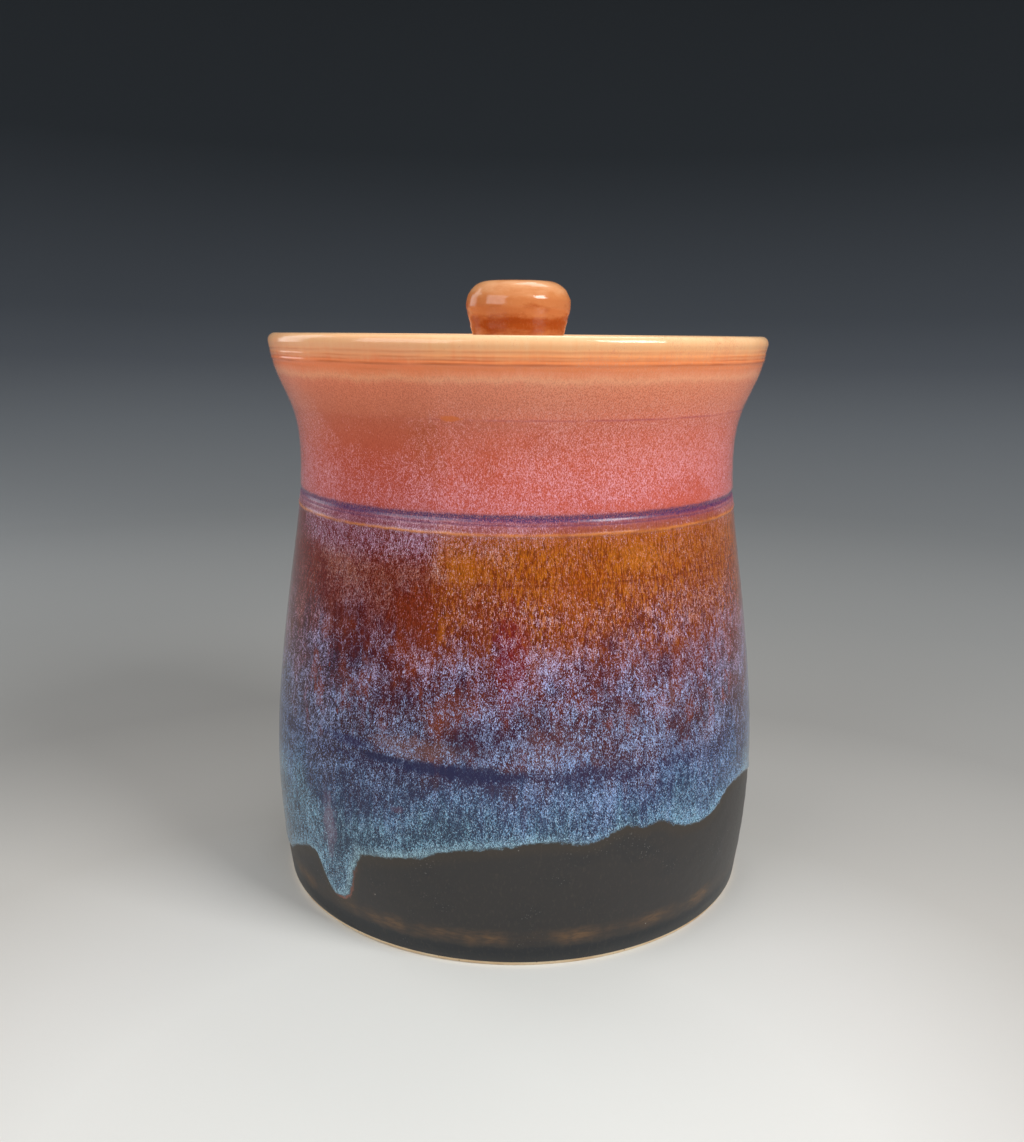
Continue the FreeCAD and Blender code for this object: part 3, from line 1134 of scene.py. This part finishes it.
    def glaze_frost(self, angles: np.ndarray) -> np.ndarray:
        """How many millimetres higher than usual the crystals start: bells of several widths, and a slow waver."""
        return bells(angles, self.frosted_places) + 4.0 * waver(angles, 17, 2, 24)

    def glaze_pallor(self, angles: np.ndarray) -> np.ndarray:
        """How pale the upper glazes turn at their lower edge: a tenth, bells of several widths and a quick waver."""
        return np.clip(0.1 + bells(angles, self.pale_places) + 0.15 * waver(angles, 23, 8, 50), 0.0, 1.0)

    def wall_radius(self, height: np.ndarray) -> np.ndarray:
        """The clay's radius at each height, on the spline through the wall points, less the inset for the glaze."""
        spline = spline_through(np.array(self.wall_points))
        return np.interp(height, spline[:, 1], spline[:, 0]) - self.clay_inset

    def wall_rows(self, edge: np.ndarray) -> np.ndarray:
        """Heights of the outside's rows, which crowd along the glaze's lower edge and at the lines in the clay.

        Below the edge, rows share the way from the foot to it; then come rows at fixed steps from it; then they share
        the way to the straight part of the wall, and above that every column has the same heights.

        Args:
            edge: The lower edge's height in each column.

        Returns:
            Rows by columns, rising.
        """
        below = np.linspace(0.0, 1.0, 11)[:-1, None]
        above = np.linspace(0.0, 1.0, 40)[1:, None]
        lowest, first, last = self.bevel_height, self.edge_steps[0], self.edge_steps[-1]
        lower = lowest + (edge + first - lowest) * below
        beside = edge + np.array(self.edge_steps)[:, None]
        upper = edge + last + (self.even_height - edge - last) * above
        even = np.concatenate([np.linspace(*stretch) for stretch in self.even_rows])
        return np.concatenate([lower, beside, upper, np.repeat(even[:, None], edge.shape[-1], axis=1)])

    def glaze_coat(self, height: np.ndarray, fall: np.ndarray, angles: np.ndarray) -> np.ndarray:
        """How far the glazes stand out from the clay.

        The black glaze is 0.12 thick. Above their lower edge the others add 0.16, a bead of 0.16 that swells within
        the first millimetre and a half, and 0.09 on a tongue. Throwing rings add a wave of 5.2 pitch, and the grooves,
        the ridge and the lip's lines are bells of height.

        Args:
            height: Heights of the rows by columns.
            fall: Distance above the lower edge, measured square to it.
            angles: Degrees of the columns.

        Returns:
            Thickness, rows by columns.
        """
        coat = 0.12 + 0.16 * easing(fall, -0.05, 0.35) + 0.16 * bell(fall, 0.8, 0.8) * easing(fall, -0.05, 0.3)
        coat = coat + 0.09 * self.tongues(angles) * easing(fall, 0.0, 1.5) * bell(height, 14.0, 18.0)
        rings = ripple(height, 5.2, angles) * (0.6 + 0.4 * waver(angles, 5, 1, 5))
        coat = coat + 0.035 * rings * easing(height, 2.0, 12.0)
        for middle, size, width in self.lines:
            coat = coat + size * bell(height, middle, width)
        return coat

    def surface(self) -> TurnedSurface:
        """Works out the whole jar, from the middle of its underside round to the middle of its floor.

        Returns:
            The surface, with the marks that the layered glaze reads.
        """
        angles = self.columns_round()
        edge = self.lower_edge(angles)
        slope = np.gradient(edge, np.radians(angles) * self.foot_radius)
        wall_height = self.wall_rows(edge[None, :])
        fall = (wall_height - edge) / np.sqrt(1 + slope**2)
        wall_radius = self.wall_radius(wall_height) + self.glaze_coat(wall_height, fall, angles)
        wall_radius = wall_radius + 0.05 * waver(angles, 7, 2, 6)
        under = self._underside(angles)
        over = self._lip_and_inside(angles, wall_radius[-1])
        radius = np.concatenate([under[0], wall_radius, over[0]])
        height = np.concatenate([under[1], wall_height, over[1]])
        coats = np.concatenate([under[2], coated((wall_radius, Coat.GLAZE)), over[2]])
        by_column = {
            "warmth": self.glaze_warmth(angles),
            "frost": self.glaze_frost(angles),
            "pallor": self.glaze_pallor(angles),
            "tip": self.tips(angles),
        }
        marks = {name: np.repeat(values[None, :], len(radius), axis=0) for name, values in by_column.items()}
        marks["fall"] = np.concatenate([np.full_like(under[0], -20.0), fall, np.full_like(over[0], 100.0)])
        marks["thickness"] = np.full_like(radius, 0.5)
        return TurnedSurface(radius, height, angles, coats, marks)

    def _underside(self, angles: np.ndarray) -> tuple[np.ndarray, np.ndarray, np.ndarray]:
        """The trimmed underside and the foot's bevel.

        The underside is hollowed by a third of a millimetre, and a trimming tool's spiral of 2.6 pitch is cut in it:
        0.16 times (1 + the ripple of the radius).

        Args:
            angles: Degrees of the columns.

        Returns:
            Radii, heights and coats of its rows.
        """
        flat = self.foot_radius - self.bevel_width
        inner = np.linspace(1.5, flat - 3.0, 34)[:, None]
        hollow = (0.32 + 0.16 * (1 + ripple(inner, 2.6, angles))) * easing(-inner, -(flat - 3.0), -(flat - 5.5))
        rest = line((flat - 3.0, 0.0), (flat - 0.3, 0.0), 2)
        corner = arc(flat - 0.3, 0.3, 0.3, -90.0, 45.0, 4)
        bevel = line(tuple(corner[-1]), (self.foot_radius - self.clay_inset, self.bevel_height), 3)
        edge = np.concatenate([rest, corner, bevel])
        edge_radius = edge[:, :1] + 0.1 * waver(angles, 9, 5, 30) * np.linspace(0.0, 1.0, len(edge))[:, None]
        radius = np.concatenate([np.repeat(inner, len(angles), axis=1), edge_radius])
        height = np.concatenate([hollow, np.repeat(edge[:, 1:], len(angles), axis=1)])
        return radius, height, coated((radius, Coat.CLAY))

    def _lip_and_inside(self, angles: np.ndarray, last: np.ndarray) -> tuple[np.ndarray, np.ndarray, np.ndarray]:
        """Over the lip, down the gallery to its ledge, down the throat and the inside, and in over the floor.

        Inside, throwing rings of 6.5 pitch are 0.22 deep, and the floor rises in a spiral swirl of 0.25 round its
        middle.

        Args:
            angles: Degrees of the columns.
            last: The outside's radius in its top row, where the lip starts.

        Returns:
            Radii, heights and coats of the rows.
        """
        outer, inner, rim = self.lip_outer_round, self.lip_inner_round, self.rim_height
        gallery, throat, ledge_height = self.gallery_radius, self.throat_radius, self.ledge_height
        fillet, edge = self.ledge_fillet, self.ledge_round
        lip = np.concatenate(
            [
                arc(self.lip_radius - outer, rim - outer, outer, 0.0, 90.0, 11)[1:],
                line((self.lip_radius - outer, rim), (gallery + inner, rim), 3),
                arc(gallery + inner, rim - inner, inner, 90.0, 90.0, 8),
                line((gallery, rim - inner), (gallery, self.glaze_stop), 4),
            ]
        )
        ledge = np.concatenate(
            [
                np.array([[gallery, self.glaze_stop - 0.2], [gallery, self.glaze_stop - 1.8]]),
                arc(gallery - fillet, ledge_height + fillet, fillet, 0.0, -90.0, 5),
                line((gallery - fillet, ledge_height), (throat + edge, ledge_height), 4),
                arc(throat + edge, ledge_height - edge, edge, 90.0, 90.0, 6),
                np.array([[throat, ledge_height - 2.0]]),
            ]
        )
        corner_top = self.base_thickness + self.inside_corner
        down = np.linspace(ledge_height - 2.6, corner_top, 44)
        follow = self.wall_radius(down) + self.clay_inset - self.wall
        inside = np.where(down > self.neck_height, throat, follow)
        cavity = inside[-1]
        corner = arc(cavity - self.inside_corner, corner_top, self.inside_corner, 0.0, -90.0, 9)[1:]
        base = self.base_thickness
        floor = np.linspace((cavity - self.inside_corner - 2.0, base), (1.2, base), 24)
        hollow = np.concatenate([np.stack([inside, down], axis=1), corner, floor])
        radius, height = all_round(np.concatenate([lip, ledge, hollow]), len(angles))
        fade = np.linspace(1.0, 0.0, 10)[:, None]
        radius[:10] = radius[:10] + fade * (last - self.lip_radius)
        start = len(lip) + len(ledge)
        wall = slice(start, start + len(down))
        level = height[wall]
        rings = 0.22 * ripple(level, 6.5, angles) * easing(-level, -154.0, -140.0)
        radius[wall] = radius[wall] - rings * easing(level, corner_top, corner_top + 6.0)
        middle = radius[-len(floor) :]
        swirl = 0.25 * (1 + ripple(middle, 9.0, -angles)) * easing(-middle, -50.0, -30.0)
        height[-len(floor) :] = height[-len(floor) :] + swirl
        return radius, height, coated((lip, Coat.GLAZE), (ledge, Coat.CLAY), (hollow, Coat.LINER))

    def build(self, finishes: list[bpy.types.Material]) -> bpy.types.Object:
        """Makes the jar, which stands for the plain jar body.

        Args:
            finishes: One material for each coat, in the coats' order.

        Returns:
            The jar.
        """
        piece = self.surface().piece(self.name, finishes)
        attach(piece, "jar")
        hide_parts("jar_body")
        return piece


@dataclass
class Lid:
    """The lid: a round plate on the jar's ledge, with a locating ring below it, and the knob on top.

    Attributes:
        underside: Height of the plate's underside, where it rests on the ledge.
        edge_round: Radius of the plate's upper edge.
        seat_round: Radius of its lower edge.
        ring_round: Radius of both edges of the ring.
        fillet: Radius of the corner between the underside and the ring's inside.
        chamfer: Size of the corner between the underside and the ring's outside.
        knob_points: Radius and height of points up the knob's side.
        knob_top: Height of the flat rim round the knob's dish.
        dish_radius: Where the dish starts.
        dish_depth: How deep it is.
    """

    plate_name: str = "glazed_lid"
    knob_name: str = "glazed_knob"
    underside: float = 158.2
    thickness: float = 6.0
    radius: float = 67.6
    edge_round: float = 2.2
    seat_round: float = 0.8
    ring_outside: float = 60.0
    ring_width: float = 4.5
    ring_depth: float = 7.0
    ring_round: float = 1.6
    fillet: float = 1.4
    chamfer: float = 0.4
    columns: int = 256
    knob_columns: int = 176
    knob_points: Points = (
        (12.9, 164.2), (13.6, 166.6), (14.3, 169.0), (14.85, 171.2), (15.35, 173.2), (15.8, 175.0),
        (16.05, 176.8), (15.85, 178.6), (15.1, 180.4), (14.0, 181.9), (12.4, 183.1), (10.5, 183.8),
        (8.0, 183.93),
    )
    knob_top: float = 183.95
    dish_radius: float = 7.4
    dish_depth: float = 0.35

    def plate(self) -> TurnedSurface:
        """The plate and its ring.

        Its half section goes from the middle of the underside out, round the ring, out over the seat, round the edge
        and in over the top, where throwing rings of 7 pitch are 0.12 deep. The glaze is thicker along the rings.

        Returns:
            The surface.
        """
        angles = np.linspace(-180.0, 180.0, self.columns, endpoint=False)
        low, top = self.underside, self.underside + self.thickness
        ring_inside = self.ring_outside - self.ring_width
        bottom = low - self.ring_depth
        size, fillet, seat, chamfer = self.ring_round, self.fillet, self.seat_round, self.chamfer
        inner = np.linspace((2.0, low), (ring_inside - fillet, low), 16, endpoint=False)
        ring = np.concatenate(
            [
                arc(ring_inside - fillet, low - fillet, fillet, 90.0, -90.0, 5),
                line((ring_inside, low - fillet), (ring_inside, bottom + size), 4),
                arc(ring_inside + size, bottom + size, size, 180.0, 90.0, 7),
                arc(self.ring_outside - size, bottom + size, size, 270.0, 90.0, 7),
                line((self.ring_outside, bottom + size), (self.ring_outside, low - chamfer), 5),
                line((self.ring_outside + chamfer, low), (self.radius - seat, low), 5),
                arc(self.radius - seat, low + seat, seat, -90.0, 90.0, 5),
            ]
        )
        crown = np.linspace((self.radius - self.edge_round - 1.2, top), (2.0, top), 50)
        over = np.concatenate(
            [
                line((self.radius, low + seat), (self.radius, top - self.edge_round), 3),
                arc(self.radius - self.edge_round, top - self.edge_round, self.edge_round, 0.0, 90.0, 9),
                crown,
            ]
        )
        radius, height = all_round(np.concatenate([inner, ring, over]), len(angles))
        rings = ripple(radius, 7.0, -angles)
        height[-len(crown) :] = height[-len(crown) :] - 0.06 * (1 + rings[-len(crown) :])
        coats = coated((inner, Coat.LINER), (ring, Coat.CLAY), (over, Coat.GLAZE))
        swirl = rings * easing(radius, 16.0, 24.0) * (0.7 + 0.5 * waver(angles, 37, 1, 6))
        thickness = 0.5 + 0.1 * swirl + 0.1 * waver(angles, 41, 1, 4)
        thickness = thickness - 0.45 * bell(radius, self.radius, 1.4) + 0.35 * bell(radius, 15.0, 2.0)
        return TurnedSurface(radius, height, angles, coats, {"thickness": thickness})

    def knob(self) -> TurnedSurface:
        """The knob.

        Its side is the spline through its points, with throwing rings of 3.1 pitch that are 0.05 deep, and its top is
        dished. Its colour is paler on top, darker in a band below the bulge and a little paler along the bulge.

        Returns:
            The surface.
        """
        angles = np.linspace(-180.0, 180.0, self.knob_columns, endpoint=False)
        top = self.underside + self.thickness
        foot = np.linspace((1.5, top), (12.0, top), 8)
        side = spline_through(np.array(self.knob_points), 96)
        inwards = np.linspace(self.dish_radius, 0.8, 14)
        sunk = self.dish_depth * easing(-inwards, -self.dish_radius, -2.0)
        dish = np.stack([inwards, self.knob_top - sunk], axis=1)
        radius, height = all_round(np.concatenate([foot, side, dish]), len(angles))
        wall = slice(len(foot), len(foot) + len(side))
        rings = 0.05 * (1 + ripple(height[wall], 3.1, angles))
        radius[wall] = radius[wall] - rings - 0.06 * (1 + waver(angles, 13, 2, 5))
        # Here the mark only sets the colour: paler on top, darker in a band below the bulge and paler along it.
        sway = height + 0.7 * waver(angles, 31, 1, 5)
        thickness = 0.34 + 0.5 * easing(sway, 176.0, 183.4)
        thickness = thickness - 0.4 * bell(sway, 171.4, 2.0) + 0.16 * bell(sway, 175.4, 1.0)
        coats = coated((foot, Coat.CLAY), (side, Coat.GLAZE), (dish, Coat.GLAZE))
        return TurnedSurface(radius, height, angles, coats, {"thickness": thickness})

    def build(self, finishes: list[bpy.types.Material]) -> list[bpy.types.Object]:
        """Makes the lid and its knob, which stand for the plain ones and lift together.

        Args:
            finishes: One material for each coat, in the coats' order.

        Returns:
            The two pieces.
        """
        made = []
        for surface, name, node in ((self.plate(), self.plate_name, "lid"), (self.knob(), self.knob_name, "lid_knob")):
            piece = surface.piece(name, finishes)
            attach(piece, "lid_and_knob")
            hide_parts(node)
            made.append(piece)
        return made


# The studio


@dataclass(frozen=True)
class Softbox:
    """A soft lamp with an oblong face, which faces the canister.

    Attributes:
        name: Its name.
        angle: Degrees round from the front towards the right.
        lift: Degrees above the table.
        distance: Metres from the canister.
        width: Metres across its face.
        tall: Metres up its face.
        glow: How bright its face looks, where 1 is white.
    """

    name: str
    angle: float
    lift: float
    distance: float
    width: float
    tall: float
    glow: float

    def hang(self, target: Vector) -> None:
        """Hangs the lamp so that it points at a target. Its power is glow times pi times its area.

        Args:
            target: The target, in metres.
        """
        data = bpy.data.lights.new(self.name, "AREA")
        data.shape = "RECTANGLE"
        data.size, data.size_y = self.width, self.tall
        data.energy = self.glow * math.pi * self.width * self.tall
        lamp = bpy.data.objects.new(self.name, data)
        turn, lift = math.radians(self.angle), math.radians(self.lift)
        away = Vector((math.sin(turn) * math.cos(lift), -math.cos(turn) * math.cos(lift), math.sin(lift)))
        lamp.location = target + away * self.distance
        lamp.rotation_euler = away.to_track_quat("Z", "Y").to_euler()
        lamp.visible_camera = False
        bpy.context.scene.collection.objects.link(lamp)


@dataclass
class Studio:
    """A round sweep of paper, soft lamps, and the camera that looks slightly down at the canister from the front.

    Attributes:
        opening: Radius of the floor's round opening, which lies under the jar's foot.
        floor_radius: How far the flat floor reaches.
        cove: Radius of the bend between floor and wall.
        wall_height: How high the wall reaches.
        columns: How many straight stretches the sweep has round it.
        pale_place: Where the paper is palest.
        climb: How many times more a rise counts than a step along the floor, as the painted shade darkens.
        paper_with_painted_shade: The colours by distance from the palest place, darker further back and up the
            wall: painted shade where the light falls off.
        sky: How bright the room's light is on what it falls on.
        background: How bright it looks.
        lens: Focal length of the camera.
        sensor: Width of its picture.
        camera_place: Where it stands.
        pitch: How far it looks down, in degrees.
        roll: How far it is turned about its line of sight, in degrees.
        target: What the lamps point at.
        lamps: The lamps.
    """

    opening: float = 71.5
    floor_radius: float = 700.0
    cove: float = 350.0
    wall_height: float = 1300.0
    columns: int = 128
    pale_place: tuple[float, float, float] = (-12.0, -150.0, 0.0)
    climb: float = 3.5
    # Painted shade: darker away from the front, where the light falls off towards the back and up the wall.
    paper_with_painted_shade: Stops = shades(
        (40.0, 222, 223, 219), (90.0, 220, 220, 216), (120.0, 211, 210, 206), (180.0, 186, 184, 179),
        (300.0, 158, 157, 154), (480.0, 151, 152, 151), (840.0, 149, 152, 154), (1070.0, 118, 123, 128),
        (1210.0, 92, 97, 104), (1330.0, 78, 83, 90), (1800.0, 50, 55, 60), (2600.0, 42, 46, 50),
    )
    sky: float = 0.58
    background: float = 0.35
    lens: float = 32.94
    sensor: float = 36.0
    camera_place: tuple[float, float, float] = (-1.2, -327.9, 168.8)
    pitch: float = 12.86
    roll: float = 0.49
    target: tuple[float, float, float] = (0.0, 0.0, 90.0)
    lamps: tuple[Softbox, ...] = (
        Softbox("key_softbox", 54.0, 38.0, 0.9, 0.36, 0.36, 15.4),
        Softbox("fill_softbox", -50.0, 30.0, 0.75, 0.6, 0.45, 2.95),
        Softbox("window", -118.0, 22.0, 0.8, 0.34, 0.6, 1.6),
        Softbox("top_softbox", 150.0, 66.0, 0.9, 0.4, 0.4, 3.0),
    )

    def sweep(self) -> bpy.types.Object:
        """The floor, which curves up into a wall all round: a flat ring, a quarter circle and an upright line, turned.

        The ring's opening lies under the jar's foot and lets light reach the foot's underside.

        Returns:
            The sweep.
        """
        turn = np.radians(np.linspace(-180.0, 180.0, self.columns, endpoint=False))
        flat = np.linspace((self.opening, 0.0), (self.floor_radius, 0.0), 12)
        curve = arc(self.floor_radius, self.cove, self.cove, -90.0, 90.0, 24)[1:]
        back = self.floor_radius + self.cove
        wall = line((back, self.cove), (back, self.wall_height), 8)
        radius, height = all_round(np.concatenate([flat, curve, wall]), len(turn))
        places = np.stack([radius * np.sin(turn), -radius * np.cos(turn), height], axis=-1).reshape(-1, 3)
        squares = squares_between(*radius.shape)[:, [0, 3, 2, 1]]
        mesh = bpy.data.meshes.new("studio_sweep")
        mesh.from_pydata((places * MILLIMETRE).tolist(), [], squares.tolist())
        made = show(mesh, [self._paper()])
        return made

    def _paper(self) -> bpy.types.Material:
        """Matt paper with painted shade: palest in front of the canister, darker further back and up the wall,
        where the light falls off. It isn't there for a look from behind.

        Returns:
            The material.
        """
        mix = GlazeKitchen("studio_paper")
        tooth = mix.grain((1.2, 1.2), 3.0)
        paper_with_painted_shade = mix.ramp(mix.distance(self.pale_place, (1.0, 1.0, 1 / self.climb)), self.paper_with_painted_shade)
        material = mix.fire(paper_with_painted_shade, mix.rise(tooth, 0.3, 0.7, 0.82, 0.9), mix.bump(tooth, 0.03), 1.45, 0.2)
        nodes = {node.type: node for node in mix.tree.nodes}
        faces = mix.node("NewGeometry").outputs["Backfacing"]
        clear = mix.node("BsdfTransparent").outputs[0]
        choice = mix.node("MixShader", faces, nodes["BSDF_PRINCIPLED"].outputs[0], clear)
        mix.put(nodes["OUTPUT_MATERIAL"].inputs[0], choice.outputs[0])
        return material

    def daylight(self) -> None:
        """Fills the room: plain grey light, and a pale background for what the camera, gloss and glass look at."""
        world = bpy.data.worlds.new("studio_light")
        bpy.context.scene.world = world
        world.use_nodes = True
        tree = world.node_tree
        tree.nodes.clear()
        path = tree.nodes.new("ShaderNodeLightPath")
        seen = path.outputs["Is Camera Ray"]
        for name in ("Is Glossy Ray", "Is Transmission Ray"):
            either = tree.nodes.new("ShaderNodeMath")
            either.operation = "MAXIMUM"
            tree.links.new(seen, either.inputs[0])
            tree.links.new(path.outputs[name], either.inputs[1])
            seen = either.outputs[0]
        strength = tree.nodes.new("ShaderNodeMapRange")
        tree.links.new(seen, strength.inputs[0])
        strength.inputs[3].default_value = self.sky
        strength.inputs[4].default_value = self.background
        light = tree.nodes.new("ShaderNodeBackground")
        light.inputs[0].default_value = (1.0, 1.0, 1.0, 1.0)
        tree.links.new(strength.outputs[0], light.inputs[1])
        output = tree.nodes.new("ShaderNodeOutputWorld")
        tree.links.new(light.outputs[0], output.inputs[0])

    def camera(self) -> None:
        """Stands the camera in front, pitched down and turned a little about its line of sight."""
        data = bpy.data.cameras.new("camera")
        data.lens = self.lens
        data.sensor_width = self.sensor
        data.clip_start = 0.01
        camera = bpy.data.objects.new("camera", data)
        camera.location = Vector(self.camera_place) * MILLIMETRE
        roll = Matrix.Rotation(math.radians(self.roll), 3, "Z")
        camera.rotation_euler = (Matrix.Rotation(math.radians(90.0 - self.pitch), 3, "X") @ roll).to_euler()
        bpy.context.scene.collection.objects.link(camera)
        bpy.context.scene.camera = camera

    def build(self) -> None:
        """Sets the whole studio up."""
        self.sweep()
        self.daylight()
        for lamp in self.lamps:
            lamp.hang(Vector(self.target) * MILLIMETRE)
        self.camera()
        bpy.context.scene.view_settings.view_transform = "Standard"


def main() -> None:
    """Builds the canister and its studio, and reports each piece."""
    logging.basicConfig(level=logging.INFO, format="%(message)s")
    salmon = SalmonGlaze().make()
    liner = LinerGlaze().make()
    clay = BareClay().make()
    pieces = [Jar().build([LayeredGlaze().make(), liner, clay]), *Lid().build([salmon, liner, clay])]
    for piece in pieces:
        logging.info("%s: %d faces", piece.name, len(piece.data.polygons))
    Studio().build()


if __name__ == "__main__":
    main()
